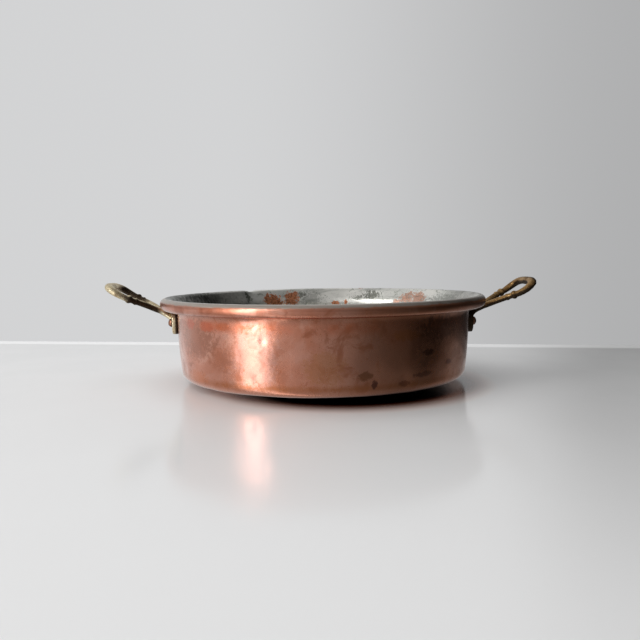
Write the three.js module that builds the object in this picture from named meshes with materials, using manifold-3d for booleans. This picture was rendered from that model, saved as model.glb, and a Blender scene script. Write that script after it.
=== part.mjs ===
// Shallow two-handled copper pan: a sheet copper vessel with its edge rolled over an iron wire,
// a tin lining, and two cast brass loop handles, each held by two copper rivets.
// Millimetres, +Z up. The origin is the centre of the flat rest under the bottom, and the
// handles lie along X.
import * as THREE from "three";
import { mergeVertices } from "three/addons/utils/BufferGeometryUtils.js";
import Module from "manifold-3d";

const wasm = await Module();
wasm.setup();

// ---- Driving dimensions ----
const TURN_SEGMENTS = 40; // facets round the vessel
const RIVET_SEGMENTS = 12;
const SECTION_POINTS = 10; // round a handle's bar
const FIT_GAP = 0.3; // clearance between neighbouring pieces

const SHEET = 1.5; // copper sheet thickness
const WALL_RADIUS = 125; // outside radius of the wall just under the rim
const WALL_LEAN = THREE.MathUtils.degToRad(7); // lean of the wall at its foot, upright at the top
const CORNER_RADIUS = 7; // outside radius between wall and bottom
const BELLY_RISE = 4.5; // the bottom bulges down by this much between its corner and its rest
const BELLY_SLOPE = THREE.MathUtils.degToRad(7); // slope of the bottom where it meets the corner

const RIM_RADIUS = 134; // radius of the circle that the rim wire follows
const RIM_HEIGHT = 67.6; // height of that circle
const WIRE_RADIUS = 3.2;
const FLARE_HEIGHT = 57; // where the wall starts to flare out to the rim
const FLARE_RADIUS = 9; // outside fillet between wall and flare
const ROLL_END = THREE.MathUtils.degToRad(-150); // where the rolled edge ends, round the wire

const TIN = 0.3; // tin lining thickness
const TIN_GAP = 0.1; // clearance between lining and sheet
const TIN_END = THREE.MathUtils.degToRad(75); // the lining ends just over the crown of the rim

const PLATE_THICKNESS = 4.6; // riveted plate of a handle
const LOBE_RADIUS = 9.8; // the plate has a round lobe about each rivet
const PLATE_CROWN = 3; // the plate's top edge rises this much to the neck
const PLATE_DIP = 4; // its bottom edge rises this much between the lobes
const RIVET_SPREAD = 13.5; // sideways distance of each rivet from the handle's middle
const RIVET_RADIUS = 2.6;
const RIVET_HEAD_RADIUS = 3.8;
const RIVET_HEAD_HEIGHT = 3;
const INNER_HEAD_HEIGHT = 1.3;
const OUTER_HEAD_LIFT = 0.15; // clearance of a flat head over the curved plate
const INNER_HEAD_LIFT = 0.6; // and inside the leaning wall

const HANDLE_REACH = 181; // distance from the pan's axis to the middle of the grip
const GRIP_HALF_WIDTH = 22; // sideways distance of the grip's middle line at its widest
const ARM_SIZE = { width: 6.2, thickness: 5.5 };
const GRIP_SIZE = { width: 8.4, thickness: 6.8 };
const NECK_SIZE = { width: 13.5, thickness: 5.8, rootWidth: 25.5 };
const LOOP_SLOPE = THREE.MathUtils.degToRad(24); // the loop's plane rises outward at this angle
const ARMS_PART = 144.5; // distance from the pan's axis at which the neck becomes two arms
const BEADS = [
  { reach: 158.7, diameter: 7, length: 3.6 },
  { reach: 163.6, diameter: 7.9, length: 6 },
]; // turned beads of the collar on each arm

// The middle lines of the casting, as distances from the pan's axis and heights over the rim
// wire: the neck's root on the plate, then each handle's own line from under the rim to the grip.
// The handles were riveted on by eye, and use has bent and twisted each a little differently.
const NECK_ROOT = [[128.2, -21.6], [129.2, -16.1], [131.7, -12.6], [135, -10.1]];
const HANDLES = {
  right: {
    turn: 0,
    rivetHeight: 48.7,
    spine: [[138.5, -8.5], [150, -2.8], [160, 1.9], [170, 6.1], [HANDLE_REACH, 14.6]],
    twist: THREE.MathUtils.degToRad(0.5),
  },
  left: {
    turn: Math.PI,
    rivetHeight: 51.3,
    spine: [[138.5, -8], [150, -1.9], [160, 2.5], [170, 7.3], [HANDLE_REACH, 14.4]],
    twist: THREE.MathUtils.degToRad(1.5),
  },
};

// ---- Materials ----
const metal = (color, roughness) =>
  new THREE.MeshStandardMaterial({ color, roughness, metalness: 1 });
const COPPER = metal(0x9a5a41, 0.35);
const TINNED = metal(0x9d9f9b, 0.45);
const IRON = metal(0x4a4643, 0.7);
const BRASS = metal(0x8f7a42, 0.5);
const RIVET_COPPER = metal(0x7a4a33, 0.45);

// ---- Solids and meshes ----
function toSolid(geometry) {
  const bare = geometry.clone();
  bare.deleteAttribute("normal");
  bare.deleteAttribute("uv");
  const merged = mergeVertices(bare, 1e-4);
  const triVerts = new Uint32Array(merged.index.array);
  const vertProperties = merged.attributes.position.array;
  return new wasm.Manifold(new wasm.Mesh({ numProp: 3, vertProperties, triVerts }));
}

function toGeometry(solid) {
  const { vertProperties, triVerts } = solid.getMesh();
  const geometry = new THREE.BufferGeometry();
  geometry.setAttribute("position", new THREE.BufferAttribute(vertProperties, 3));
  geometry.setIndex(new THREE.BufferAttribute(triVerts, 1));
  geometry.computeVertexNormals();
  return geometry;
}

function namedMesh(name, geometry, material) {
  const mesh = new THREE.Mesh(geometry, material);
  mesh.name = name;
  return mesh;
}

// Turns an outline of (radius, height) points about the Z axis.
function turned(outline) {
  const points = outline.map(([radius, height]) => new THREE.Vector2(radius, height));
  return new THREE.LatheGeometry(points, TURN_SEGMENTS).rotateX(Math.PI / 2);
}

// ---- The sheet's outside face, from the axis out to the end of the roll ----
// Each station holds a point and the direction of travel there, so that every layer of the
// vessel is the same line moved to its left by the layer's depth.
const station = (radius, height, heading) => ({ radius, height, heading });

function arcStations(centre, radius, from, to, steps) {
  const turn = Math.sign(to - from);
  return Array.from({ length: steps + 1 }, (_, i) => {
    const angle = from + ((to - from) * i) / steps;
    const heading = angle + (turn * Math.PI) / 2;
    return station(
      centre[0] + radius * Math.cos(angle),
      centre[1] + radius * Math.sin(angle),
      heading,
    );
  });
}

const ROLL_RADIUS = WIRE_RADIUS + FIT_GAP;
const CORNER_END = Math.PI / 2 - WALL_LEAN;
const FOOT_HEIGHT = BELLY_RISE + CORNER_RADIUS * (Math.cos(BELLY_SLOPE) - Math.cos(CORNER_END));
const WALL_BOW = (FLARE_HEIGHT - FOOT_HEIGHT) / Math.sin(WALL_LEAN); // radius of the wall's bow

function bottomStations(edgeRadius) {
  const length = (2 * BELLY_RISE) / Math.tan(BELLY_SLOPE);
  const restRadius = edgeRadius - length;
  const steps = 3;
  const belly = Array.from({ length: steps }, (_, i) => {
    const part = i / steps;
    const heading = Math.atan(part * Math.tan(BELLY_SLOPE));
    return station(restRadius + part * length, BELLY_RISE * part * part, heading);
  });
  return [station(0, 0, 0), ...belly];
}

function flareStations() {
  const centre = [WALL_RADIUS + FLARE_RADIUS, FLARE_HEIGHT];
  const across = RIM_RADIUS - centre[0];
  const rise = RIM_HEIGHT - centre[1];
  const lean =
    Math.atan2(across, rise) +
    Math.asin((FLARE_RADIUS - ROLL_RADIUS) / Math.hypot(across, rise));
  const fillet = arcStations(centre, FLARE_RADIUS, Math.PI, Math.PI - lean, 3);
  const roll = arcStations([RIM_RADIUS, RIM_HEIGHT], ROLL_RADIUS, Math.PI - lean, ROLL_END, 12);
  return { fillet, roll };
}

function sheetStations() {
  const wallCentre = [WALL_RADIUS - WALL_BOW, FLARE_HEIGHT];
  const wall = arcStations(wallCentre, WALL_BOW, -WALL_LEAN, 0, 4);
  const foot = wall[0];
  const cornerCentre = [
    foot.radius - CORNER_RADIUS * Math.cos(WALL_LEAN),
    foot.height + CORNER_RADIUS * Math.sin(WALL_LEAN),
  ];
  const corner = arcStations(
    cornerCentre, CORNER_RADIUS, BELLY_SLOPE - Math.PI / 2, -WALL_LEAN, 4,
  );
  const { fillet, roll } = flareStations();
  return [
    ...bottomStations(corner[0].radius),
    ...corner,
    ...wall.slice(1),
    ...fillet.slice(1),
    ...roll,
  ];
}

const STATIONS = sheetStations();

function atDepth({ radius, height, heading }, depth) {
  return [radius - depth * Math.sin(heading), height + depth * Math.cos(heading)];
}

// A layer of the vessel between two depths, as an outline that starts and ends on the axis.
function layerOutline(stations, outer, inner) {
  const there = stations.map((s) => atDepth(s, outer));
  const back = stations.map((s) => atDepth(s, inner)).reverse();
  return [...there, ...back];
}

// Radius of the wall's outside face at a height between foot and flare.
function wallRadiusAt(height) {
  return WALL_RADIUS - WALL_BOW + Math.sqrt(WALL_BOW ** 2 - (FLARE_HEIGHT - height) ** 2);
}

// ---- Rivets ----
const RIVET_ANGLE = Math.asin(RIVET_SPREAD / (WALL_RADIUS + PLATE_THICKNESS));
const RIVET_ANGLES = [-RIVET_ANGLE, RIVET_ANGLE];

// Where a rivet's two heads begin, as distances from the pan's axis.
function rivetSeats(height) {
  const wall = wallRadiusAt(height);
  return {
    outerSeat: wall + FIT_GAP + PLATE_THICKNESS + OUTER_HEAD_LIFT,
    innerSeat: wall - SHEET - TIN_GAP - TIN - INNER_HEAD_LIFT,
  };
}

// Placed round the pan's axis, with its own axis along the local X.
function radialMatrix(angle, height) {
  return new THREE.Matrix4()
    .makeRotationZ(angle)
    .multiply(new THREE.Matrix4().makeTranslation(0, 0, height));
}

function rivetGeometry(height) {
  const { outerSeat, innerSeat } = rivetSeats(height);
  const steps = 3;
  const dome = (seat, rise) =>
    Array.from({ length: steps + 1 }, (_, i) => {
      const angle = (i / steps) * (Math.PI / 2);
      return [RIVET_HEAD_RADIUS * Math.cos(angle), seat + rise * Math.sin(angle)];
    });
  const inner = dome(innerSeat, -INNER_HEAD_HEIGHT).reverse();
  const outer = dome(outerSeat, RIVET_HEAD_HEIGHT);
  const outline = [...inner, [RIVET_RADIUS, innerSeat], [RIVET_RADIUS, outerSeat], ...outer];
  const points = outline.map(([radius, along]) => new THREE.Vector2(Math.max(radius, 0), along));
  points[0].x = 0;
  points[points.length - 1].x = 0;
  return new THREE.LatheGeometry(points, RIVET_SEGMENTS).rotateZ(-Math.PI / 2);
}

// The two holes for a handle's rivets, with the handle turned round the pan by an angle.
function rivetHoles(height, turn) {
  const { outerSeat, innerSeat } = rivetSeats(height);
  const length = 1.5 * (outerSeat - innerSeat);
  const radius = RIVET_RADIUS + FIT_GAP;
  const drill = new THREE.CylinderGeometry(radius, radius, length, RIVET_SEGMENTS)
    .rotateZ(-Math.PI / 2)
    .translate((outerSeat + innerSeat) / 2, 0, 0);
  const [first, second] = RIVET_ANGLES.map((angle) =>
    toSolid(drill.clone().applyMatrix4(radialMatrix(turn + angle, height))),
  );
  return first.add(second);
}

const allRivetHoles = Object.values(HANDLES)
  .map(({ rivetHeight, turn }) => rivetHoles(rivetHeight, turn))
  .reduce((all, holes) => all.add(holes));

// ---- Vessel, lining and wire ----
function vesselGeometry() {
  const sheet = toSolid(turned(layerOutline(STATIONS, 0, SHEET)));
  return toGeometry(sheet.subtract(allRivetHoles));
}

function liningGeometry() {
  const lined = STATIONS.filter((s) => s.heading > TIN_END - Math.PI / 2);
  const depth = SHEET + TIN_GAP;
  const layer = toSolid(turned(layerOutline(lined, depth, depth + TIN)));
  return toGeometry(layer.subtract(allRivetHoles));
}

function wireGeometry() {
  const ring = new THREE.TorusGeometry(RIM_RADIUS, WIRE_RADIUS, 10, TURN_SEGMENTS);
  return ring.translate(0, 0, RIM_HEIGHT);
}

// ---- Handle ----
// Height of a handle's middle line at a distance from the pan's axis.
function spineHeight(handle, reach) {
  const line = new THREE.SplineCurve(handle.spine.map(([x, rise]) => new THREE.Vector2(x, rise)));
  return RIM_HEIGHT + line.getPoint(partAtReach(line, reach, 1)).y;
}

// Where a curve first reaches a distance from the pan's axis, within its first stretch.
function partAtReach(curve, reach, stretch) {
  let low = 0;
  let high = stretch;
  while (high - low > 1e-5) {
    const middle = (low + high) / 2;
    if (curve.getPoint(middle).x < reach) low = middle;
    else high = middle;
  }
  return low;
}

// A bar with an oval section along a curve, closed by a fan at each end.
function bar(curve, rings, sizeAt, sideOf) {
  const positions = [];
  const triangles = [];
  const addPoint = (v) => positions.push(v.x, v.y, v.z);
  for (let ring = 0; ring <= rings; ring++) {
    const part = ring / rings;
    const middle = curve.getPointAt(part);
    const along = curve.getTangentAt(part);
    const side = sideOf(along);
    const up = new THREE.Vector3().crossVectors(side, along).normalize();
    const { width, thickness } = sizeAt(part, middle);
    for (let i = 0; i < SECTION_POINTS; i++) {
      const angle = (i / SECTION_POINTS) * 2 * Math.PI;
      addPoint(
        middle.clone()
          .addScaledVector(side, (width / 2) * Math.cos(angle))
          .addScaledVector(up, (thickness / 2) * Math.sin(angle)),
      );
    }
  }
  const first = positions.length / 3;
  addPoint(curve.getPointAt(0));
  addPoint(curve.getPointAt(1));
  const lastRing = rings * SECTION_POINTS;
  for (let i = 0; i < SECTION_POINTS; i++) {
    const next = (i + 1) % SECTION_POINTS;
    triangles.push(first, i, next);
    triangles.push(first + 1, lastRing + next, lastRing + i);
    for (let ring = 0; ring < lastRing; ring += SECTION_POINTS) {
      triangles.push(ring + i, ring + SECTION_POINTS + i, ring + next);
      triangles.push(ring + next, ring + SECTION_POINTS + i, ring + SECTION_POINTS + next);
    }
  }
  const geometry = new THREE.BufferGeometry();
  geometry.setAttribute("position", new THREE.Float32BufferAttribute(positions, 3));
  geometry.setIndex(triangles);
  return geometry;
}

// One arm out from the neck, round the grip and back along the other arm.
function loopCurve(handle) {
  const half = [
    [136.5, 3],
    [143.5, 5],
    [150, 9.4],
    [156, 14],
    [161.5, 17.6],
    [167, 20.4],
    [173, GRIP_HALF_WIDTH],
    [178, 20],
    [180.4, 13.5],
    [HANDLE_REACH, 5],
  ];
  const place = (reach, side) => {
    const twist = handle.twist * THREE.MathUtils.smoothstep(reach, ARMS_PART, BEADS[0].reach);
    return new THREE.Vector3(reach, side, spineHeight(handle, reach) + side * Math.tan(twist));
  };
  const near = half.map(([reach, side]) => place(reach, -side));
  const far = half.map(([reach, side]) => place(reach, side)).reverse();
  return new THREE.CatmullRomCurve3([...near, ...far], false, "centripetal");
}

const LOOP_NORMAL = new THREE.Vector3(-Math.sin(LOOP_SLOPE), 0, Math.cos(LOOP_SLOPE));

function loopSize(part, middle) {
  const blend = THREE.MathUtils.smoothstep(middle.x, BEADS[1].reach, HANDLE_REACH);
  return {
    width: THREE.MathUtils.lerp(ARM_SIZE.width, GRIP_SIZE.width, blend),
    thickness: THREE.MathUtils.lerp(ARM_SIZE.thickness, GRIP_SIZE.thickness, blend),
  };
}

function loopSolid(curve) {
  const sideOf = (along) => new THREE.Vector3().crossVectors(along, LOOP_NORMAL).normalize();
  return toSolid(bar(curve, 38, loopSize, sideOf));
}

function beadSolids(curve) {
  return BEADS.flatMap(({ reach, diameter, length }) => {
    const part = partAtReach(curve, reach, 0.4);
    return [part, 1 - part].map((at) => {
      const bead = new THREE.SphereGeometry(0.5, 10, 6).scale(diameter, length, diameter);
      const turn = new THREE.Quaternion().setFromUnitVectors(
        new THREE.Vector3(0, 1, 0), curve.getTangent(at),
      );
      const place = curve.getPoint(at);
      return toSolid(bead.applyQuaternion(turn).translate(place.x, place.y, place.z));
    });
  });
}

// The neck rises from the plate, bends out under the rim and ends where the arms part.
function neckSolid(handle) {
  const line = [
    ...NECK_ROOT.map(([reach, rise]) => [reach, RIM_HEIGHT + rise]),
    ...[handle.spine[0][0], ARMS_PART].map((reach) => [reach, spineHeight(handle, reach)]),
  ];
  const curve = new THREE.CatmullRomCurve3(
    line.map(([reach, height]) => new THREE.Vector3(reach, 0, height)), false, "centripetal",
  );
  const size = (part) => ({
    width: THREE.MathUtils.lerp(NECK_SIZE.width, NECK_SIZE.rootWidth, (1 - part) ** 3),
    thickness: NECK_SIZE.thickness,
  });
  return toSolid(bar(curve, 10, size, () => new THREE.Vector3(0, -1, 0)));
}

// The space that the vessel takes up, grown by a margin, for shaping a handle to it.
function wallBody(margin) {
  const steep = STATIONS.filter((s) => s.heading > 1 && s.radius < RIM_RADIUS);
  const side = steep.map((s) => atDepth(s, -margin));
  const reach = side[side.length - 1][0];
  const above = 2 * RIM_HEIGHT;
  return toSolid(turned([[0, side[0][1]], ...side, [reach, above], [0, above]]));
}

function rimBody() {
  const radius = ROLL_RADIUS + SHEET + 2 * FIT_GAP;
  return toSolid(
    new THREE.TorusGeometry(RIM_RADIUS, radius, 12, TURN_SEGMENTS).translate(0, 0, RIM_HEIGHT),
  );
}

function plateOutline(rivetHeight) {
  const bottom = rivetHeight - LOBE_RADIUS;
  const top = rivetHeight + LOBE_RADIUS;
  const outline = new THREE.Shape();
  outline.moveTo(RIVET_SPREAD, bottom);
  outline.absarc(RIVET_SPREAD, rivetHeight, LOBE_RADIUS, -Math.PI / 2, Math.PI / 2, false);
  outline.quadraticCurveTo(0, top + PLATE_CROWN, -RIVET_SPREAD, top);
  outline.absarc(-RIVET_SPREAD, rivetHeight, LOBE_RADIUS, Math.PI / 2, 1.5 * Math.PI, false);
  outline.quadraticCurveTo(0, bottom + PLATE_DIP, RIVET_SPREAD, bottom);
  return outline;
}

function plateSolid(rivetHeight) {
  const sheetToRow = new THREE.Matrix4().makeBasis(
    new THREE.Vector3(0, 1, 0), new THREE.Vector3(0, 0, 1), new THREE.Vector3(1, 0, 0),
  );
  const blank = new THREE.ExtrudeGeometry(plateOutline(rivetHeight), {
    depth: WALL_RADIUS, bevelEnabled: false, curveSegments: 6,
  }).applyMatrix4(sheetToRow).translate(WALL_RADIUS / 2, 0, 0);
  return toSolid(blank).intersect(wallBody(FIT_GAP + PLATE_THICKNESS));
}

function handleGeometry(handle) {
  const curve = loopCurve(handle);
  const casting = [
    loopSolid(curve),
    ...beadSolids(curve),
    neckSolid(handle),
    plateSolid(handle.rivetHeight),
  ].reduce((all, piece) => all.add(piece));
  const shaped = casting.subtract(wallBody(FIT_GAP)).subtract(rimBody());
  return toGeometry(shaped.subtract(rivetHoles(handle.rivetHeight, 0)));
}

// ---- Assembly ----
function handleSet(side) {
  const handle = HANDLES[side];
  const set = new THREE.Group();
  set.rotation.z = handle.turn;
  set.add(namedMesh(side + "_handle", handleGeometry(handle), BRASS));
  // Turned half round, the left set's far rivet is the one nearer the front.
  const names = handle.turn === 0 ? ["front", "back"] : ["back", "front"];
  RIVET_ANGLES.forEach((angle, i) => {
    const geometry = rivetGeometry(handle.rivetHeight);
    const rivet = namedMesh(side + "_rivet_" + names[i], geometry, RIVET_COPPER);
    rivet.applyMatrix4(radialMatrix(angle, handle.rivetHeight));
    set.add(rivet);
  });
  return set;
}

const pan = new THREE.Group();
pan.add(
  namedMesh("vessel", vesselGeometry(), COPPER),
  namedMesh("tin_lining", liningGeometry(), TINNED),
  namedMesh("rim_wire", wireGeometry(), IRON),
  handleSet("right"),
  handleSet("left"),
);

export default pan;
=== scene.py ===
"""Looks of a shallow two-handled copper pan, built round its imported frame.

Metres, +Z up. The handles lie along X, and the camera stands in front, on the -Y side.
"""

import math

import bpy
import numpy as np
from mathutils import Euler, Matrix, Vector, noise


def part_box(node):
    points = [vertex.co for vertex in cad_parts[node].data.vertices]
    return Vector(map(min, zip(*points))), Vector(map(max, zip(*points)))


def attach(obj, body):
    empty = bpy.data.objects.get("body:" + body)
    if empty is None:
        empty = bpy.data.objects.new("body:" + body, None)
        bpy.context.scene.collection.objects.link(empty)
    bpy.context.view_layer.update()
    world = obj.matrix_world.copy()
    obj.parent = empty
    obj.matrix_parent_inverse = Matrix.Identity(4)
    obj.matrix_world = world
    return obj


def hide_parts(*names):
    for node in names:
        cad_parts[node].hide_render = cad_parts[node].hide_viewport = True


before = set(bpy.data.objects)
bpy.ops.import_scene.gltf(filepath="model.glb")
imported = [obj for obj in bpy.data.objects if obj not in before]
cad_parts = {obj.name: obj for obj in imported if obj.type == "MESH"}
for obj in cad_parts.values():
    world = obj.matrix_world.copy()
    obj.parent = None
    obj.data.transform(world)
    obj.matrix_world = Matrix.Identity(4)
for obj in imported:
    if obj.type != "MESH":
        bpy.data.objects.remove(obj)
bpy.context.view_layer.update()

MM = 0.001
DEG = math.radians(1)

# ---- The vessel's section, as the CAD part has it ----
SHEET = 1.5 * MM
WALL_RADIUS = 125 * MM
WALL_LEAN = 7 * DEG
CORNER_RADIUS = 7 * MM
BELLY_RISE = 4.5 * MM
BELLY_SLOPE = 7 * DEG
WIRE_RADIUS = 3.2 * MM
ROLL_RADIUS = 3.5 * MM  # of the sheet's hidden face, round the wire
FLARE_HEIGHT = 57 * MM
FLARE_RADIUS = 9 * MM
ROLL_END = -150 * DEG
TIN = 0.3 * MM
TIN_GAP = 0.1 * MM
TIN_END = 75 * DEG
RIM_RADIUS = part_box("rim_wire")[1].x - WIRE_RADIUS
RIM_HEIGHT = (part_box("rim_wire")[0].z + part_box("rim_wire")[1].z) / 2

# ---- Fineness of the new meshes ----
STEP = 1.1 * MM  # along the section
REST_RINGS = 30  # on the flat rest in the middle of the bottom
TURN_SEGMENTS = 640
WIRE_SEGMENTS = 20
HANDLE_VOXEL = 0.36 * MM
RIVET_VOXEL = 0.16 * MM

# ---- Wear of the sheet: places round the pan are degrees from +X, anticlockwise ----
WAVE_DEPTH = 0.30 * MM  # slow unevenness of the wall
WAVE_SIZE = 34 * MM
RIPPLE_SIZE = 15 * MM
PLANISH_DEPTH = 0.045 * MM  # flats left by the hammer
PLANISH_SIZE = 11 * MM
RIM_WAVE_DEPTH = 0.10 * MM
BOTTOM_DEPTH = 0.35 * MM
WORN_BOTTOM = (44 * MM, 70 * MM)  # radii between which the bottom's unevenness grows
WORN_WALL = (24 * MM, 36 * MM)  # the same for the wall, from the middle of a handle's plate
BOTTOM_TURN = (10 * DEG, 50 * DEG)  # headings at which the bottom ends and the wall begins
ROLL_LEAD = 12  # stations over which the wall's wear gives way to the roll's
DENT_FALLOFF = 1.5
DENTS = [  # round, height, half width, depth
    (242, 18, 5, 0.5),
    (247, 46, 3.5, 0.3),
    (254, 33, 9, 0.35),
    (283, 22, 10, 0.4),
    (296, 14, 6, 0.5),
    (305, 30, 8, 0.35),
    (325, 26, 12, 0.6),
    (217, 30, 9, 0.35),
    (203, 17, 6, 0.3),
    (128, 35, 9, 0.5),
    (72, 24, 8, 0.45),
    (98, 44, 5, 0.3),
    (38, 30, 9, 0.45),
]
NOTCH = {"round": 121.5, "half_width": 4.5 * MM, "depth": 1.3 * MM}  # knock on the rim
NOTCH_HEIGHTS = (RIM_HEIGHT - 6 * MM, RIM_HEIGHT + 4 * MM)  # it deepens between these

# ---- Unevenness of the castings and rivets: sizes and heights ----
HANDLE_SKIN = [(11 * MM, 0.18 * MM), (3 * MM, 0.035 * MM), (1.2 * MM, 0.02 * MM)]
RIVET_SKIN = [(2.6 * MM, 0.22 * MM), (1.1 * MM, 0.08 * MM)]

# ---- The tin's edge on the crown of the rim ----
TIN_EDGE_RINGS = 4  # over which the coat thins to nothing
TIN_EDGE_BACK = 0.06 * MM  # how far its two faces end below the copper's
TIN_EDGE_FRONT = 0.02 * MM


# ---- Mesh helpers ----
def new_piece(name, vertices, faces):
    """A smooth-shaded mesh object that rides on the pan."""
    mesh = bpy.data.meshes.new(name)
    mesh.from_pydata([tuple(v) for v in vertices], [], faces)
    mesh.shade_smooth()
    piece = bpy.data.objects.new(name, mesh)
    bpy.context.scene.collection.objects.link(piece)
    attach(piece, "root")
    return piece


def turned(name, grid):
    """A closed skin from rings: grid holds, for each ring, its points round the pan."""
    rings, count = grid.shape[:2]
    vertices = grid.reshape(-1, 3)
    following = (np.arange(count) + 1) % count
    faces = []
    for ring in range(rings):
        here = ring * count + np.arange(count)
        there = (ring + 1) % rings * count + np.arange(count)
        faces += np.column_stack((here, here[following], there[following], there)).tolist()
    return new_piece(name, vertices, faces)


def capped(name, grid):
    """As turned(), but the first and the last ring are each closed by a fan on the axis."""
    rings, count = grid.shape[:2]
    first = rings * count
    ends = [grid[0].mean(axis=0), grid[-1].mean(axis=0)]
    vertices = np.vstack((grid.reshape(-1, 3), ends))
    faces = []
    for ring in range(rings - 1):
        here = ring * count + np.arange(count)
        ahead = np.roll(here, -1)
        faces += np.column_stack((here, ahead, ahead + count, here + count)).tolist()
    last = (rings - 1) * count
    for i in range(count):
        following = (i + 1) % count
        faces.append([first, following, i])
        faces.append([first + 1, last + i, last + following])
    return new_piece(name, vertices, faces)


def smooth_step(value, low, high):
    """From 0 at low to 1 at high, level at both ends."""
    part = np.clip((value - low) / (high - low), 0, 1)
    return part * part * (3 - 2 * part)


# ---- The section of the sheet: stations of radius, height and heading ----
def arc(centre, radius, start, end):
    """Stations on a round stretch, between two angles as seen from its centre."""
    count = max(3, round(abs(end - start) * radius / STEP) + 1)
    angle = np.linspace(start, end, count)
    heading = angle + math.copysign(math.pi / 2, end - start)
    return np.column_stack(
        (centre[0] + radius * np.cos(angle), centre[1] + radius * np.sin(angle), heading)
    )


def straight(start, end):
    """Stations between two others, without them."""
    count = max(2, round(np.hypot(*(end - start)[:2]) / STEP) + 1)
    part = np.linspace(0, 1, count)[1:-1, None]
    return start + part * (end - start)


def sheet_stations():
    """The sheet's outside face, from near the axis out to the end of the roll."""
    corner_end = math.pi / 2 - WALL_LEAN
    foot_height = BELLY_RISE + CORNER_RADIUS * (math.cos(BELLY_SLOPE) - math.cos(corner_end))
    bow = (FLARE_HEIGHT - foot_height) / math.sin(WALL_LEAN)
    wall = arc((WALL_RADIUS - bow, FLARE_HEIGHT), bow, -WALL_LEAN, 0)
    corner_centre = (
        wall[0, 0] - CORNER_RADIUS * math.cos(WALL_LEAN),
        wall[0, 1] + CORNER_RADIUS * math.sin(WALL_LEAN),
    )
    corner = arc(corner_centre, CORNER_RADIUS, BELLY_SLOPE - math.pi / 2, -WALL_LEAN)

    belly_length = 2 * BELLY_RISE / math.tan(BELLY_SLOPE)
    rest_radius = corner[0, 0] - belly_length
    level = np.zeros(REST_RINGS)
    rest = np.column_stack((np.linspace(STEP, rest_radius, REST_RINGS), level, level))
    part = np.linspace(0, 1, round(belly_length / STEP))[1:-1]
    belly = np.column_stack(
        (
            rest_radius + part * belly_length,
            BELLY_RISE * part**2,
            np.arctan(part * math.tan(BELLY_SLOPE)),
        )
    )

    flare_centre = (WALL_RADIUS + FLARE_RADIUS, FLARE_HEIGHT)
    across = RIM_RADIUS - flare_centre[0]
    rise = RIM_HEIGHT - flare_centre[1]
    lean = math.atan2(across, rise) + math.asin(
        (FLARE_RADIUS - ROLL_RADIUS) / math.hypot(across, rise)
    )
    fillet = arc(flare_centre, FLARE_RADIUS, math.pi, math.pi - lean)
    roll = arc((RIM_RADIUS, RIM_HEIGHT), ROLL_RADIUS, math.pi - lean, ROLL_END)
    flat = straight(fillet[-1], roll[0])
    return np.vstack((rest, belly, corner, wall[1:], fillet[1:], flat, roll))


STATIONS = sheet_stations()
ROUND = np.linspace(0, 2 * math.pi, TURN_SEGMENTS, endpoint=False)


def round_distance(place):
    """Distance along the wall of each meridian from a place, given in degrees."""
    turn = (ROUND - place * DEG + math.pi) % (2 * math.pi) - math.pi
    return turn * WALL_RADIUS


def perlin(points, size):
    """Smooth noise of a given size, about -1 to 1."""
    return np.array([noise.noise(Vector(p) / size) for p in points])


def planished(points, size):
    """Shallow flats with soft ridges between them, from -0.5 to 0.5."""
    found = [noise.voronoi(Vector(p) / size)[0] for p in points]
    return np.array([min(d[1] - d[0], 0.5) for d in found])


def sheet_regions():
    """How far each station lies on the bottom, on the wall and on the roll, from 0 to 1."""
    travelled = np.arange(len(STATIONS))[:, None]
    roll_start = len(STATIONS) - len(arc((0, 0), ROLL_RADIUS, math.pi / 2, ROLL_END))
    on_roll = smooth_step(travelled, roll_start - ROLL_LEAD, roll_start)
    on_bottom = 1 - smooth_step(STATIONS[:, 2:3], *BOTTOM_TURN)
    on_bottom = np.where(travelled < len(STATIONS) / 2, on_bottom, 0)
    return on_bottom, (1 - on_roll) * (1 - on_bottom), on_roll


def wear_fields():
    """How far the sheet stands out from its true section, at each station and meridian.

    The second field is for the seen face alone: on the roll it sinks towards the wire, while the
    hidden face stays.
    """
    radius, height = STATIONS[:, 0:1], STATIONS[:, 1:2]
    points = np.stack(
        np.broadcast_arrays(radius * np.cos(ROUND), radius * np.sin(ROUND), height), axis=-1
    )
    flat_points = points.reshape(-1, 3)
    waves = perlin(flat_points, WAVE_SIZE) + 0.5 * perlin(flat_points + 1, RIPPLE_SIZE)
    waves = waves.reshape(points.shape[:2])
    flats = planished(flat_points, PLANISH_SIZE).reshape(points.shape[:2])

    on_bottom, on_wall, on_roll = sheet_regions()
    from_plate = np.minimum(abs(round_distance(0)), abs(round_distance(180)))
    clear_of_plates = smooth_step(from_plate, *WORN_WALL)
    clear_of_rest = smooth_step(radius, *WORN_BOTTOM)

    field = on_wall * clear_of_plates * (WAVE_DEPTH * waves + PLANISH_DEPTH * flats)
    field = field - on_bottom * BOTTOM_DEPTH * (0.5 + 0.4 * waves) * clear_of_rest
    for place, level, half_width, depth in DENTS:
        away = np.hypot(round_distance(place), height - level * MM) / (half_width * MM)
        field = field - on_wall * depth * MM * np.exp(-(away**2) * DENT_FALLOFF)

    away = round_distance(NOTCH["round"]) / NOTCH["half_width"]
    notch = NOTCH["depth"] * smooth_step(height, *NOTCH_HEIGHTS) * np.exp(-(away**2))
    sunk = RIM_WAVE_DEPTH * np.clip(1.0 - waves, 0, 2) * clear_of_plates
    return field, field + on_roll * (sunk + notch)


WEAR, SEEN_WEAR = wear_fields()


def layer(stations, wear, depth):
    """Rings of the sheet's face at a depth, for each station and meridian."""
    radius, height, heading = (stations[:, i : i + 1] for i in range(3))
    out = wear - depth
    ring_radius = radius + out * np.sin(heading)
    ring_height = height - out * np.cos(heading) + 0 * ROUND
    return np.stack(
        (ring_radius * np.cos(ROUND), ring_radius * np.sin(ROUND), ring_height), axis=-1
    )


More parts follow.
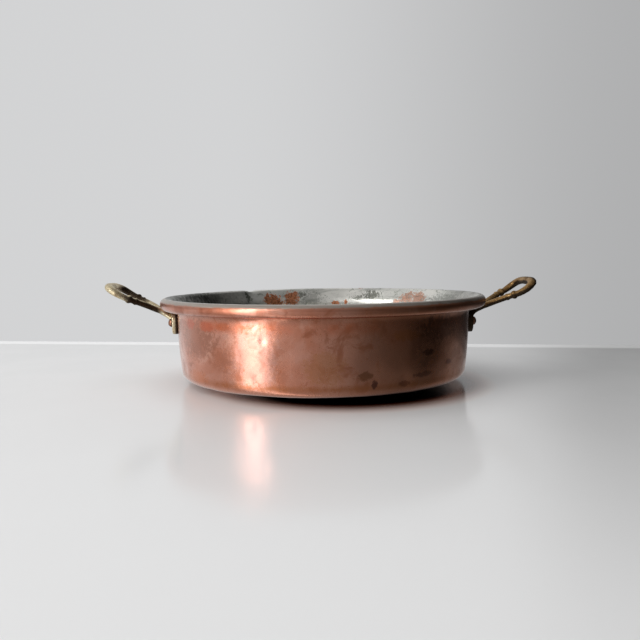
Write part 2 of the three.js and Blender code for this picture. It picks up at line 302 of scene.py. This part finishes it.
def vessel_piece():
    outside = layer(STATIONS, WEAR, 0)
    inside = layer(STATIONS, SEEN_WEAR, SHEET)
    return capped("copper_vessel", np.concatenate((outside, inside[::-1])))


def lining_piece():
    """The tin thins to nothing over the crown of the rim."""
    turned_over = (STATIONS[:, 2] < TIN_END - math.pi / 2) & (
        np.arange(len(STATIONS)) > len(STATIONS) / 2
    )
    count = int(np.argmax(turned_over))
    stations, wear = STATIONS[:count], SEEN_WEAR[:count]
    fade = smooth_step(np.arange(count), count - 1 - TIN_EDGE_RINGS, count - 1)[:, None]
    back = SHEET + TIN_GAP * (1 - fade) - TIN_EDGE_BACK * fade
    front = SHEET + (TIN_GAP + TIN) * (1 - fade) - TIN_EDGE_FRONT * fade
    faces = np.concatenate((layer(stations, wear, back), layer(stations, wear, front)[::-1]))
    return capped("tin_coat", faces)


def wire_piece():
    around = np.linspace(0, 2 * math.pi, WIRE_SEGMENTS, endpoint=False)[::-1]
    radius = RIM_RADIUS + WIRE_RADIUS * np.cos(around)[:, None]
    height = RIM_HEIGHT + WIRE_RADIUS * np.sin(around)[:, None] + 0 * ROUND
    grid = np.stack((radius * np.cos(ROUND), radius * np.sin(ROUND), height), axis=-1)
    return turned("iron_rim_wire", grid[::-1])


# ---- Castings and rivets: the CAD solids, rounded and given their surface ----
def remeshed(node, name, voxel, rounds, swell, skin):
    """A fine copy of a CAD node, its facets smoothed away, with an uneven skin.

    rounds is how often it is smoothed, and swell how far its whole surface is moved outwards.
    """
    source = bpy.data.objects.new("source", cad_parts[node].data.copy())
    bpy.context.scene.collection.objects.link(source)
    remesh = source.modifiers.new("remesh", "REMESH")
    remesh.mode = "VOXEL"
    remesh.voxel_size = voxel
    smooth = source.modifiers.new("smooth", "SMOOTH")
    smooth.factor = 0.5
    smooth.iterations = rounds
    evaluated = source.evaluated_get(bpy.context.evaluated_depsgraph_get())
    mesh = bpy.data.meshes.new_from_object(evaluated)
    bpy.data.objects.remove(source)

    mesh.name = name
    mesh.materials.clear()
    mesh.shade_smooth()
    points = np.array([v.co for v in mesh.vertices])
    normals = np.array([v.normal for v in mesh.vertices])
    lift = swell + sum(height * perlin(points, size) for size, height in skin)
    mesh.vertices.foreach_set("co", (points + lift[:, None] * normals).ravel())
    mesh.update()
    piece = bpy.data.objects.new(name, mesh)
    bpy.context.scene.collection.objects.link(piece)
    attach(piece, "root")
    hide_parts(node)
    return piece


def handle_piece(side):
    return remeshed(
        side + "_handle",
        side + "_brass_handle",
        HANDLE_VOXEL,
        rounds=20,
        swell=-0.12 * MM,
        skin=HANDLE_SKIN,
    )


def rivet_piece(place):
    return remeshed(
        place,
        place + "_head",
        RIVET_VOXEL,
        rounds=6,
        swell=0.03 * MM,
        skin=RIVET_SKIN,
    )


# ---- Node materials ----
PATCH_RAGGEDNESS = 5.0
PATCH_EDGE = (0.4, 1.3)  # where a patch starts to fade and where it ends, 1 being its own oval


class Nodes:
    """Short forms for the node tree of a material or world. Sizes are in metres."""

    def __init__(self, owner, coordinates="Object"):
        owner.use_nodes = True
        self.owner = owner
        self.tree = owner.node_tree
        self.tree.nodes.clear()
        self.place = self.node("TexCoord").outputs[coordinates]
        self.x, self.y, self.z = self.split(self.place)

    def node(self, kind, inputs=None, **settings):
        made = self.tree.nodes.new("ShaderNode" + kind)
        for key, value in settings.items():
            setattr(made, key, value)
        for key, value in (inputs or {}).items():
            socket = made.inputs[key]
            if isinstance(value, bpy.types.NodeSocket):
                self.tree.links.new(value, socket)
            else:
                socket.default_value = value
        return made

    def split(self, vector):
        return self.node("SeparateXYZ", {"Vector": vector}).outputs

    def math(self, operation, a, b=0.0):
        return self.node("Math", {0: a, 1: b}, operation=operation).outputs[0]

    def noise(self, size, detail=3, roughness=0.55, distortion=0.0, at=None):
        inputs = {
            "Vector": at or self.place,
            "Scale": 1 / size,
            "Detail": detail,
            "Roughness": roughness,
            "Distortion": distortion,
        }
        return self.node("TexNoise", inputs).outputs["Fac"]

    def stretched(self, x, y, z, place=None):
        """A place, or that of the surface, with each axis scaled."""
        inputs = {"Vector": place or self.place, "Scale": (x, y, z)}
        return self.node("Mapping", inputs).outputs[0]

    def joined(self, x, y, z=0.0):
        return self.node("CombineXYZ", {"X": x, "Y": y, "Z": z}).outputs[0]

    def length(self, across, along):
        squares = self.total(self.product(across, across), self.product(along, along))
        return self.math("SQRT", squares)

    def unrolled(self):
        """The wall laid flat: distance round the pan, radius, and both joined with the height."""
        turn = self.math("ARCTAN2", self.y, self.x)
        along = self.math("MULTIPLY", turn, WALL_RADIUS)
        radius = self.length(self.x, self.y)
        return along, radius, self.joined(along, radius, self.z)

    def ramp(self, value, low, high, start=0.0, end=1.0):
        """From start, where the value is low or less, smoothly to end, where it reaches high."""
        inputs = {"Value": value, "From Min": low, "From Max": high, "To Min": start, "To Max": end}
        made = self.node("MapRange", inputs, interpolation_type="SMOOTHSTEP")
        return made.outputs["Result"]

    def near(self, value, middle, half_width):
        """1 at the middle value, falling to 0 at half_width from it."""
        away = self.math("ABSOLUTE", self.math("SUBTRACT", value, middle))
        return self.ramp(away, 0.0, half_width, 1.0, 0.0)

    def patch(self, along, place, level, half_width, half_height, ragged):
        """1 inside a ragged oval on the wall, 0 outside; place in degrees, sizes in mm."""
        middle = place - 360 if place > 180 else place
        offset = self.math("SUBTRACT", along, middle * DEG * WALL_RADIUS)
        across = self.math("DIVIDE", offset, half_width * MM)
        up = self.math("DIVIDE", self.math("SUBTRACT", self.z, level * MM), half_height * MM)
        away = self.total(
            self.product(across, across),
            self.product(up, up),
            self.product(self.math("SUBTRACT", ragged, 0.5), PATCH_RAGGEDNESS),
        )
        return self.ramp(away, *PATCH_EDGE, 1, 0)

    def product(self, *factors):
        found = factors[0]
        for factor in factors[1:]:
            found = self.math("MULTIPLY", found, factor)
        return found

    def total(self, *terms):
        found = terms[0]
        for term in terms[1:]:
            found = self.math("ADD", found, term)
        return found

    def blend(self, factor, first, second):
        def colour(value):
            return value if isinstance(value, bpy.types.NodeSocket) else (*value, 1.0)

        inputs = {0: factor, 6: colour(first), 7: colour(second)}
        return self.node("Mix", inputs, data_type="RGBA").outputs[2]

    def bump(self, height, depth, below=None):
        """Unevenness of the given depth in metres where height goes from 0 to 1."""
        inputs = {"Height": height, "Distance": depth, "Strength": 1.0}
        if below is not None:
            inputs["Normal"] = below
        return self.node("Bump", inputs).outputs["Normal"]

    def metal(self, colour, metallic, roughness, normal=None, **more):
        inputs = {"Base Color": colour, "Metallic": metallic, "Roughness": roughness}
        if normal is not None:
            inputs["Normal"] = normal
        inputs.update({key.replace("_", " "): value for key, value in more.items()})
        return self.node("BsdfPrincipled", inputs).outputs[0]

    def glow(self, strength, colour=(1.0, 1.0, 1.0, 1.0)):
        return self.node("Emission", {"Color": colour, "Strength": strength}).outputs[0]

    def output(self, shader, kind="Material"):
        self.node("Output" + kind, {"Surface": shader})
        return self.owner


def new_finish(name):
    return Nodes(bpy.data.materials.new(name))


COPPER = {
    "plain": (0.53, 0.195, 0.115),
    "pale": (0.62, 0.295, 0.215),
    "tarnished": (0.38, 0.115, 0.055),
    "wiped": (0.68, 0.36, 0.27),
    "specks": (0.30, 0.09, 0.045),
    "heated": (0.58, 0.15, 0.065),
    "under_roll_shade": (0.24, 0.075, 0.03),
    "low band": (0.40, 0.13, 0.05),
    "brown": (0.50, 0.19, 0.075),
    "lip": (0.56, 0.25, 0.165),
    "soot": (0.13, 0.06, 0.04),
    "tinned": (0.50, 0.465, 0.41),
}
HEATED_HEIGHT = 55 * MM  # the middles of the level bands of colour on the wall; the one at the fillet is painted shade under the roll
FILLET_MIDDLE = 63.5 * MM
LOW_BAND_HEIGHT = 11.5 * MM
LIP_HEIGHT = 6.5 * MM
COPPER_STAINS_AND_PAINTED_LIGHT = [  # round, height, half width, half height, colour, amount
    (216, 44, 26, 16, (0.36, 0.14, 0.085), 0.9),
    (223, 54, 9, 4, (0.56, 0.12, 0.05), 0.7),
    (212, 55, 7, 4, (0.50, 0.11, 0.05), 0.7),
    (231, 55, 7, 3, (0.52, 0.13, 0.05), 0.6),
    (230, 30, 12, 9, (0.44, 0.15, 0.08), 0.6),
    (214, 14, 16, 5, (0.55, 0.17, 0.07), 0.7),
    (268, 26, 16, 12, (0.50, 0.20, 0.09), 0.6),
    # Painted highlight: a pale pink patch where the window's glint falls, which pales the glint.
    (244, 34, 17, 26, (0.64, 0.33, 0.27), 0.5),
    (284.5, 13.5, 2.2, 3.4, (0.16, 0.05, 0.03), 0.95),
    (281, 20, 7, 3.5, (0.28, 0.10, 0.04), 0.8),
    (296, 13, 5, 2.5, (0.28, 0.09, 0.04), 0.8),
    (306, 34, 7, 2.5, (0.14, 0.045, 0.025), 0.8),
    (304, 18, 10, 2.2, (0.20, 0.07, 0.04), 0.75),
    (318, 24, 6, 2.0, (0.18, 0.06, 0.04), 0.7),
    # Painted reflection: a near-black patch for the dark side of the room seen in the copper.
    (312, 52, 22, 11, (0.16, 0.055, 0.03), 0.6),
    (296, 48, 12, 4, (0.52, 0.18, 0.06), 0.7),
]


def copper_bands(f, colour, radius, cloud, blot):
    """Heat colours under the rim and above the corner, painted shade in the fillet under the roll,
    and copper painted browner to the right as painted shade on the side away from the window.
    """
    heated = f.product(f.near(f.z, HEATED_HEIGHT, 7 * MM), f.ramp(cloud, 0.42, 0.6))
    colour = f.blend(f.product(heated, 0.8), colour, COPPER["heated"])
    # Painted shade: the fillet just under the rolled rim is darkened where the roll shades it.
    fillet = f.product(f.near(f.z, FILLET_MIDDLE, 4.5 * MM), f.ramp(radius, 131 * MM, 128 * MM))
    colour = f.blend(f.product(fillet, 0.8), colour, COPPER["under_roll_shade"])
    low_band = f.product(f.near(f.z, LOW_BAND_HEIGHT, 4 * MM), f.ramp(blot, 0.3, 0.6, 0.5, 1))
    colour = f.blend(f.product(low_band, 0.85), colour, COPPER["low band"])
    # Painted shade: the copper turns darker and browner towards the right, the side away from the
    # window.
    brown = f.product(f.ramp(f.x, -30 * MM, 70 * MM, 0.0, 0.6), f.ramp(cloud, 0.3, 0.6, 0.6, 1))
    return f.blend(brown, colour, COPPER["brown"])


def copper_finish():
    f = new_finish("worn_copper")
    along, radius, flat = f.unrolled()
    cloud = f.noise(45 * MM, 4, 0.6, 0.4)
    blot = f.noise(13 * MM, 5, 0.65, 0.8)
    pale = f.noise(19 * MM, 4, 0.6, 0.6)
    speck = f.noise(2.2 * MM, 3, 0.6)
    ragged = f.total(f.product(f.noise(3 * MM, 5, 0.75, 0.6), 0.9), f.product(blot, 0.4), -0.15)

    colour = f.blend(f.ramp(cloud, 0.35, 0.65), COPPER["plain"], COPPER["pale"])
    colour = f.blend(f.ramp(blot, 0.50, 0.68, 0, 0.75), colour, COPPER["tarnished"])
    colour = f.blend(f.ramp(pale, 0.54, 0.68, 0, 0.5), colour, COPPER["wiped"])
    colour = f.blend(f.ramp(speck, 0.60, 0.75, 0, 0.5), colour, COPPER["specks"])
    colour = copper_bands(f, colour, radius, cloud, blot)
    # Stains, among them a painted highlight and a painted reflection.
    for place, level, half_width, half_height, stain_or_painted_light, amount in COPPER_STAINS_AND_PAINTED_LIGHT:
        spot = f.patch(along, place, level, half_width, half_height, ragged)
        colour = f.blend(f.product(spot, amount), colour, stain_or_painted_light)
    lip = f.near(f.z, LIP_HEIGHT, 3.5 * MM)
    colour = f.blend(f.product(lip, 0.7), colour, COPPER["lip"])

    # Underneath, the bottom is darkened by the fire in rings and blotches.
    ring_place = f.joined(f.product(radius, 2.0), f.product(along, 0.1))
    rings = f.noise(6 * MM, 2, 0.5, 0, ring_place)
    below = f.ramp(f.z, 7 * MM, 2 * MM)
    soot = f.product(below, f.ramp(f.total(cloud, f.product(rings, 0.4)), 0.55, 0.9, 0.3, 0.9))
    colour = f.blend(soot, colour, COPPER["soot"])

    # Tin that ran over the crown of the rim when the inside was coated.
    edge = f.total(f.z, f.product(f.math("SUBTRACT", blot, 0.5), 2.5 * MM))
    tinned = f.ramp(edge, RIM_HEIGHT + 1.9 * MM, RIM_HEIGHT + 3.3 * MM)
    colour = f.blend(f.product(tinned, 0.9), colour, COPPER["tinned"])

    roughness = f.total(
        0.20,
        f.ramp(blot, 0.35, 0.75, 0, 0.14),
        f.ramp(speck, 0.5, 0.8, 0, 0.12),
        f.product(soot, 0.25),
        f.product(tinned, 0.12),
        f.ramp(f.z, RIM_HEIGHT - 5 * MM, RIM_HEIGHT, 0, 0.10),
    )
    scratches = f.noise(1.1 * MM, 4, 0.7, 0.2, f.stretched(0.05, 1, 1, flat))
    normal = f.bump(scratches, 0.02 * MM)
    normal = f.bump(f.noise(7 * MM, 2, 0.5), 0.09 * MM, normal)
    coat = {"Coat_Weight": 0.4, "Coat_Roughness": 0.16}  # a hazy film, which pales the glints
    return f.output(f.metal(colour, 1.0, roughness, normal, **coat))


TIN_COLOURS = {
    "plain": (0.78, 0.78, 0.73),
    "bright": (0.92, 0.90, 0.84),
    "streaks": (0.36, 0.37, 0.33),
    "blots": (0.22, 0.24, 0.19),
    "specks": (0.16, 0.15, 0.13),
    "stains": (0.13, 0.135, 0.105),
    "painted_wall_shade": (0.05, 0.05, 0.042),
    "bare copper": (0.68, 0.28, 0.15),
    "brown copper": (0.33, 0.125, 0.06),
}
WORN_PLACES = [  # round, height, half width, half height
    (112.4, 61, 10, 8),
    (102.4, 62, 8, 8.5),
    (44.5, 63, 9, 6),
    (37.5, 62, 8, 7),
    (50, 58, 4, 4),
    (81, 57, 5, 2.5),
    (76, 58, 2, 3),
]
TIN_STAINS = [  # round, height, half width, half height, amount
    (93, 62, 10, 8, 0.4),
    (98, 66, 6, 3, 0.7),
    (63.5, 66, 9, 4, 0.8),
    (70, 63, 5, 2, 0.7),
    (20, 62, 22, 7, 0.5),
    (124.5, 66, 2.5, 5, 0.9),
]


def tin_painted_wall_shade(f, turn, blot):
    """How dark the inside wall is painted, as painted shade. It fades down the wall and round to
    the front.

    It is painted dark towards the left handle, up to a crease under the knock on the rim, and a
    little towards the right handle. turn is in degrees from +X, the same on both sides.
    """
    crease = f.total(turn, f.product(f.math("SUBTRACT", blot, 0.5), 3.0))
    painted_wall_shade = f.total(
        f.ramp(crease, 123.5, 125.5, 0.0, 0.46),
        f.ramp(turn, 136, 150, 0.0, 0.48),
        f.ramp(turn, 24, 12, 0.0, 0.5),
    )
    streaks = f.ramp(f.noise(3 * MM, 3, 0.6, 0.2, f.stretched(1, 1, 0.3)), 0.35, 0.6, 0.8, 1.05)
    round_to_front = f.ramp(f.y, -90 * MM, -5 * MM)
    return f.product(painted_wall_shade, streaks, round_to_front, f.ramp(f.z, 12 * MM, 52 * MM))


def tin_finish():
    f = new_finish("worn_tin")
    along, _, flat = f.unrolled()
    turn = f.math("ABSOLUTE", f.math("DIVIDE", along, DEG * WALL_RADIUS))
    cloud = f.noise(30 * MM, 4, 0.6, 0.5)
    blot = f.noise(7 * MM, 5, 0.7, 1.0)
    fine = f.noise(1.8 * MM, 4, 0.65)
    wiped = f.noise(5 * MM, 5, 0.7, 0.4, f.stretched(0.16, 0.6, 1.0, flat))

    colour = f.blend(f.ramp(cloud, 0.35, 0.65), TIN_COLOURS["plain"], TIN_COLOURS["bright"])
    colour = f.blend(f.ramp(wiped, 0.48, 0.66, 0, 0.55), colour, TIN_COLOURS["streaks"])
    colour = f.blend(f.ramp(blot, 0.56, 0.70, 0, 0.85), colour, TIN_COLOURS["blots"])
    colour = f.blend(f.ramp(fine, 0.60, 0.72, 0, 0.7), colour, TIN_COLOURS["specks"])
    speckled = f.total(f.product(fine, 1.5), f.product(blot, 0.8), -0.65)
    for place, level, half_width, half_height, amount in TIN_STAINS:
        spot = f.patch(along, place, level, half_width, half_height, speckled)
        colour = f.blend(f.product(spot, amount), colour, TIN_COLOURS["stains"])
    # Painted shade on the inside wall, darkest towards the left handle.
    colour = f.blend(tin_painted_wall_shade(f, turn, blot), colour, TIN_COLOURS["painted_wall_shade"])

    # Worn places, where the copper shows through the tin with a ragged edge.
    ragged = f.total(blot, f.product(f.math("SUBTRACT", fine, 0.5), 0.5))
    bare = f.ramp(f.noise(24 * MM, 3, 0.6, 0.6, f.stretched(1, 1, 1.6)), 0.70, 0.73)
    for place, level, half_width, half_height in WORN_PLACES:
        spot = f.patch(along, place, level, half_width, half_height, ragged)
        bare = f.math("MAXIMUM", bare, f.ramp(spot, 0.40, 0.55))
    bare = f.product(bare, f.ramp(turn, 60, 75, 0.7, 1.0))
    browned = f.ramp(fine, 0.44, 0.60)
    copper = f.blend(browned, TIN_COLOURS["bare copper"], TIN_COLOURS["brown copper"])
    colour = f.blend(bare, colour, copper)

    roughness = f.total(0.30, f.ramp(blot, 0.4, 0.7, 0, 0.2), f.product(bare, 0.1))
    height = f.total(f.product(bare, -0.6), f.product(wiped, 0.5), f.product(fine, 0.3))
    return f.output(f.metal(colour, 1.0, roughness, f.bump(height, 0.12 * MM)))


BRASS = {
    "left": {
        "light": (0.68, 0.56, 0.36),
        "pale": (0.80, 0.71, 0.50),
        "brown": (0.34, 0.23, 0.13),
        "painted_shade": (0.035, 0.018, 0.010),
    },
    # The right handle is given darker tones than the left, as painted shade on the side away from
    # the window.
    "right": {
        "light": (0.32, 0.18, 0.065),
        "pale": (0.45, 0.28, 0.115),
        "brown": (0.14, 0.075, 0.03),
        "painted_shade": (0.03, 0.022, 0.017),
    },
}
BRASS_SPECKS = (0.13, 0.09, 0.045)
BRASS_HOLLOWS = (0.07, 0.045, 0.02)


def left_painted_shade(f, facing):
    """Painted shade: near-black on the near arm's shaded side, inside the far bar of the grip and
    in the gap behind the plate.
    """
    reach = f.math("ABSOLUTE", f.x)
    near_arm = f.product(
        f.ramp(f.y, 2 * MM, -3 * MM),
        f.ramp(reach, 137 * MM, 143 * MM),
        f.ramp(reach, 168 * MM, 163 * MM),
        f.ramp(facing["Z"], 0.85, 0.45),
    )
    far_inside = f.product(
        f.ramp(f.y, 4 * MM, 8 * MM),
        f.ramp(reach, 150 * MM, 158 * MM),
        f.ramp(reach, 182 * MM, 176 * MM),
        f.ramp(facing["Y"], 0.1, -0.3),
    )
    behind_plate = f.ramp(f.length(f.x, f.y), 127.4 * MM, 126.6 * MM)
    dark = f.math("MAXIMUM", f.math("MAXIMUM", near_arm, far_inside), behind_plate)
    return f.product(dark, 0.95)


def right_painted_shade(f, facing):
    """Painted shade: near-black on the plate, the undersides and the tip, on the side away from the
    window.
    """
    reach = f.math("ABSOLUTE", f.x)
    plate = f.ramp(reach, 143 * MM, 137 * MM)
    near_grip = f.product(f.ramp(f.y, 2 * MM, -2 * MM), f.ramp(reach, 158 * MM, 166 * MM))
    lowered = f.math("SUBTRACT", facing["Z"], f.product(near_grip, 0.3))
    underside = f.ramp(lowered, 0.35, -0.25)
    tip = f.ramp(reach, 178 * MM, 182 * MM)
    dark = f.math("MAXIMUM", f.math("MAXIMUM", plate, underside), tip)
    return f.product(dark, 0.92)


def brass_finish(side):
    f = new_finish("aged_brass_and_painted_shade_" + side)
    tones = BRASS[side]
    cloud = f.noise(16 * MM, 4, 0.6, 0.5)
    blot = f.noise(5 * MM, 5, 0.65, 0.8)
    grain = f.noise(0.9 * MM, 3, 0.6)
    surface = f.node("NewGeometry").outputs
    edge = surface["Pointiness"]
    painted_shade = left_painted_shade if side == "left" else right_painted_shade
    dark = painted_shade(f, f.split(surface["Normal"]))

    colour = f.blend(f.ramp(cloud, 0.38, 0.62), tones["light"], tones["pale"])
    colour = f.blend(f.ramp(blot, 0.48, 0.64, 0, 0.6), colour, tones["brown"])
    colour = f.blend(f.ramp(grain, 0.56, 0.72, 0, 0.4), colour, BRASS_SPECKS)
    colour = f.blend(f.ramp(edge, 0.50, 0.46, 0, 0.7), colour, BRASS_HOLLOWS)
    colour = f.blend(f.ramp(edge, 0.53, 0.58, 0, 0.5), colour, tones["pale"])
    # Painted shade: the handles darken to near-black where the masks above mark them as shaded.
    colour = f.blend(dark, colour, tones["painted_shade"])
    roughness = f.total(
        0.44,
        f.ramp(blot, 0.4, 0.7, 0, 0.2),
        f.ramp(edge, 0.5, 0.6, 0, -0.08),
        f.product(dark, 0.2),
    )
    height = f.total(f.product(grain, 0.6), f.product(blot, 0.8))
    return f.output(f.metal(colour, 0.95, roughness, f.bump(height, 0.05 * MM)))


def rivet_finish():
    f = new_finish("rivet_copper")
    blot = f.noise(3 * MM, 4, 0.65, 0.6)
    grain = f.noise(0.7 * MM, 3, 0.6)
    colour = f.blend(f.ramp(blot, 0.4, 0.65), (0.34, 0.16, 0.10), (0.15, 0.07, 0.04))
    colour = f.blend(f.ramp(grain, 0.55, 0.7, 0, 0.6), colour, (0.10, 0.055, 0.035))
    roughness = f.ramp(blot, 0.3, 0.7, 0.34, 0.5)
    return f.output(f.metal(colour, 1.0, roughness, f.bump(grain, 0.06 * MM)))


def iron_finish():
    f = new_finish("rusty_iron")
    blot = f.noise(4 * MM, 5, 0.7, 0.8)
    grain = f.noise(0.8 * MM, 3, 0.6)
    colour = f.blend(f.ramp(blot, 0.42, 0.6), (0.10, 0.09, 0.085), (0.17, 0.075, 0.035))
    metallic = f.ramp(blot, 0.4, 0.6, 0.8, 0.1)
    roughness = f.ramp(blot, 0.4, 0.6, 0.55, 0.9)
    return f.output(f.metal(colour, metallic, roughness, f.bump(grain, 0.1 * MM)))


# ---- The object ----
def build_object():
    vessel = vessel_piece()
    vessel.data.materials.append(copper_finish())
    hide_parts("vessel")

    lining = lining_piece()
    lining.data.materials.append(tin_finish())
    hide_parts("tin_lining")

    wire = wire_piece()
    wire.data.materials.append(iron_finish())
    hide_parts("rim_wire")

    for side in ("left", "right"):
        handle_piece(side).data.materials.append(brass_finish(side))
    rivets = rivet_finish()
    for node in sorted(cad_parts):
        if "_rivet_" in node:
            rivet_piece(node).data.materials.append(rivets)


# ---- Stage: table, wall, lights and camera ----
CAMERA_PLACE = Vector((-27.1, -590.7, 102.4)) * MM
CAMERA_TURN = 2.37 * DEG  # the pan stands turned by this much
CAMERA_DIP = 5.044 * DEG
CAMERA_ROLL = -0.8 * DEG
FOCAL_LENGTH = 38.02  # on a 36 mm wide sensor
TABLE_BEHIND = 242 * MM
TABLE_SKEW = 0.165  # the table's back edge, in depth over width
TABLE_WHITES = (0.79, 0.68)  # painted shade: brighter on the window's side than on the other
FAR_EDGE = (TABLE_BEHIND - 34 * MM, TABLE_BEHIND - 22 * MM)  # it begins to glow between these
FAR_EDGE_GLOW = 0.14
WALL_BEHIND = 900 * MM
WALL_HEIGHTS = (-1.0, 2.5)
WALL_GLOW = (0.66, 0.437)  # on the window's side and on the other
WALL_COLOUR = (0.985, 0.99, 1.0, 1.0)
SHADOW_MIDDLE = (20 * MM, -26 * MM)  # of the dark disc on the table, to the right and back
SHADOW_RADIUS = 92 * MM
SHADOW_FADE = 30 * MM
SHADOW_LAGS = (0.0, 2 * MM, 2.6 * MM)  # of red, green and blue, which leaves a warm edge
STAGE_HALF = 3.0
ROOM = [  # sideways part of a direction, from and to, and the brightness at each
    (-0.1, -0.6, 0.0, 0.08),
    (0.85, -0.6, 0.0, 0.40),
    (0.98, 0.80, 0.016, 0.06),
]


def from_camera_side(azimuth, distance, height):
    """A place round the pan: azimuth 0 is towards the camera, positive to its right."""
    turn = azimuth * DEG - CAMERA_TURN
    return Vector((math.sin(turn) * distance, -math.cos(turn) * distance, height))


def stage_plane(name, corners, material):
    mesh = bpy.data.meshes.new(name)
    mesh.from_pydata(corners, [], [(0, 1, 2, 3)])
    mesh.materials.append(material)
    plane = bpy.data.objects.new(name, mesh)
    plane.rotation_euler = (0, 0, -CAMERA_TURN)
    bpy.context.scene.collection.objects.link(plane)


def room_brightness(f, direction):
    """The studio is bright on the left and dark on the right, as a direction meets it."""
    across, _, up = f.split(direction)
    sides = [f.ramp(across, *part) for part in ROOM]
    return f.total(*sides, f.product(f.ramp(up, 0.05, 0.9), 0.12))


def table_colour(f, away):
    """White, with painted shade to the right. A painted shadow under the pan, where little light
    gets, with a warm edge painted for the copper's reflection.
    """
    red, green, blue = (
        f.ramp(away, SHADOW_RADIUS + lag, SHADOW_RADIUS + SHADOW_FADE + lag)
        for lag in SHADOW_LAGS
    )
    white = f.ramp(f.x, 0.04, 0.18, *TABLE_WHITES)
    return f.joined(f.product(red, white), f.product(green, white), f.product(blue, white))


def table_in_metal(f, skewed, away):
    """The room's brightness and pools of the window's light, with a dark disc under the pan."""
    incoming = f.node("NewGeometry").outputs["Incoming"]
    onward = f.node("VectorMath", {0: incoming, "Scale": -1.0}, operation="SCALE").outputs[0]
    across, ahead, up = f.split(onward)
    turn = f.math("ARCTAN2", across, f.math("MULTIPLY", ahead, -1.0))

    def pool(middle, half_width, strength):
        return f.product(f.near(turn, middle * DEG, half_width * DEG), strength)

    steep = f.ramp(up, -0.11, -0.19, 0.0, 1.4)  # only where the metal looks down steeply
    near_pan = f.ramp(away, 190 * MM, 120 * MM, 0.0, 0.05)
    pools = f.total(pool(-64, 9, steep), pool(-51, 11, 0.95), pool(-58, 18, 0.4), near_pan)
    behind = f.product(f.ramp(ahead, 0.0, 0.5, 0.0, 0.11), f.ramp(skewed, 130 * MM, 70 * MM))
    lit = f.ramp(away, SHADOW_RADIUS - 14 * MM, SHADOW_RADIUS + 4 * MM)
    return f.product(f.total(room_brightness(f, onward), pools, behind), lit)


def table_finish():
    """White lacquer. Seen in the copper it takes the room's brightness instead of its own."""
    f = new_finish("white_table")
    roughness = f.ramp(f.noise(90 * MM, 3, 0.5), 0.3, 0.7, 0.12, 0.17)
    skewed = f.total(f.y, f.product(f.x, TABLE_SKEW))
    away = f.length(
        f.math("SUBTRACT", f.x, SHADOW_MIDDLE[0]), f.math("SUBTRACT", f.y, SHADOW_MIDDLE[1])
    )

    lacquer = f.metal(table_colour(f, away), 0.0, roughness, IOR=1.42)
    far_edge = f.glow(f.ramp(skewed, *FAR_EDGE, 0.0, FAR_EDGE_GLOW))
    lacquer = f.node("AddShader", {0: lacquer, 1: far_edge}).outputs[0]
    gloss = f.metal((0.0, 0.0, 0.0, 1.0), 0.0, roughness, IOR=1.5)
    room = f.glow(table_in_metal(f, skewed, away))
    reflected = f.node("AddShader", {0: room, 1: gloss}).outputs[0]
    mirrored = f.node("LightPath").outputs["Is Glossy Ray"]
    return f.output(f.node("MixShader", {0: mirrored, 1: lacquer, 2: reflected}).outputs[0])


def wall_finish():
    """Lit from the left. Seen in the copper, it ends in the dark side of the room."""
    f = new_finish("grey_wall")
    shade = f.ramp(f.x, -0.25, 0.75, *WALL_GLOW)
    mirrored = f.node("LightPath").outputs["Is Glossy Ray"]
    dark_side = f.product(mirrored, f.ramp(f.x, 0.36, 0.66, 0.0, 0.95))
    strength = f.product(shade, f.math("SUBTRACT", 1.0, dark_side))
    return f.output(f.glow(strength, WALL_COLOUR))


def build_stage():
    left, right, front = -STAGE_HALF, STAGE_HALF, -STAGE_HALF
    skew = TABLE_SKEW * STAGE_HALF
    table = [(left, front, 0), (right, front, 0), (right, TABLE_BEHIND - skew, 0),
             (left, TABLE_BEHIND + skew, 0)]
    stage_plane("table_top", table, table_finish())
    low, high = WALL_HEIGHTS
    wall = [(left, WALL_BEHIND, low), (right, WALL_BEHIND, low), (right, WALL_BEHIND, high),
            (left, WALL_BEHIND, high)]
    stage_plane("back_wall", wall, wall_finish())


def soft_light(name, place, target, width, height, power, mirrored=True):
    data = bpy.data.lights.new(name, "AREA")
    data.shape = "RECTANGLE"
    data.size = width
    data.size_y = height
    data.energy = power
    light = bpy.data.objects.new(name, data)
    light.location = place
    light.rotation_mode = "QUATERNION"
    light.rotation_quaternion = (target - place).to_track_quat("-Z", "Y")
    light.visible_glossy = mirrored
    bpy.context.scene.collection.objects.link(light)


def build_lights():
    f = Nodes(bpy.data.worlds.new("studio"), "Generated")
    room = f.node("Background", {"Strength": room_brightness(f, f.place)}).outputs[0]
    bpy.context.scene.world = f.output(room, "World")
    middle = Vector((0, 0, RIM_HEIGHT / 2))
    above = Vector((-0.35, -0.1, 1.7))
    soft_light("window", from_camera_side(-49.5, 1.5, 0.60), middle, 0.30, 1.2, power=7)
    soft_light("curtain", from_camera_side(-56, 1.6, 0.60), middle, 0.52, 1.3, power=5)
    soft_light("overhead", above, middle, 1.8, 1.8, power=15.5, mirrored=False)


def build_camera():
    data = bpy.data.cameras.new("camera")
    data.lens = FOCAL_LENGTH
    data.sensor_width = 36.0
    camera = bpy.data.objects.new("camera", data)
    camera.location = CAMERA_PLACE
    turn = Euler((0, 0, -CAMERA_TURN)).to_matrix()
    dip = Euler((math.pi / 2 - CAMERA_DIP, 0, 0)).to_matrix()
    roll = Euler((0, 0, CAMERA_ROLL)).to_matrix()
    camera.rotation_euler = (turn @ dip @ roll).to_euler()
    bpy.context.scene.collection.objects.link(camera)
    bpy.context.scene.camera = camera


build_object()
build_stage()
build_lights()
build_camera()
bpy.context.scene.view_settings.view_transform = "Standard"
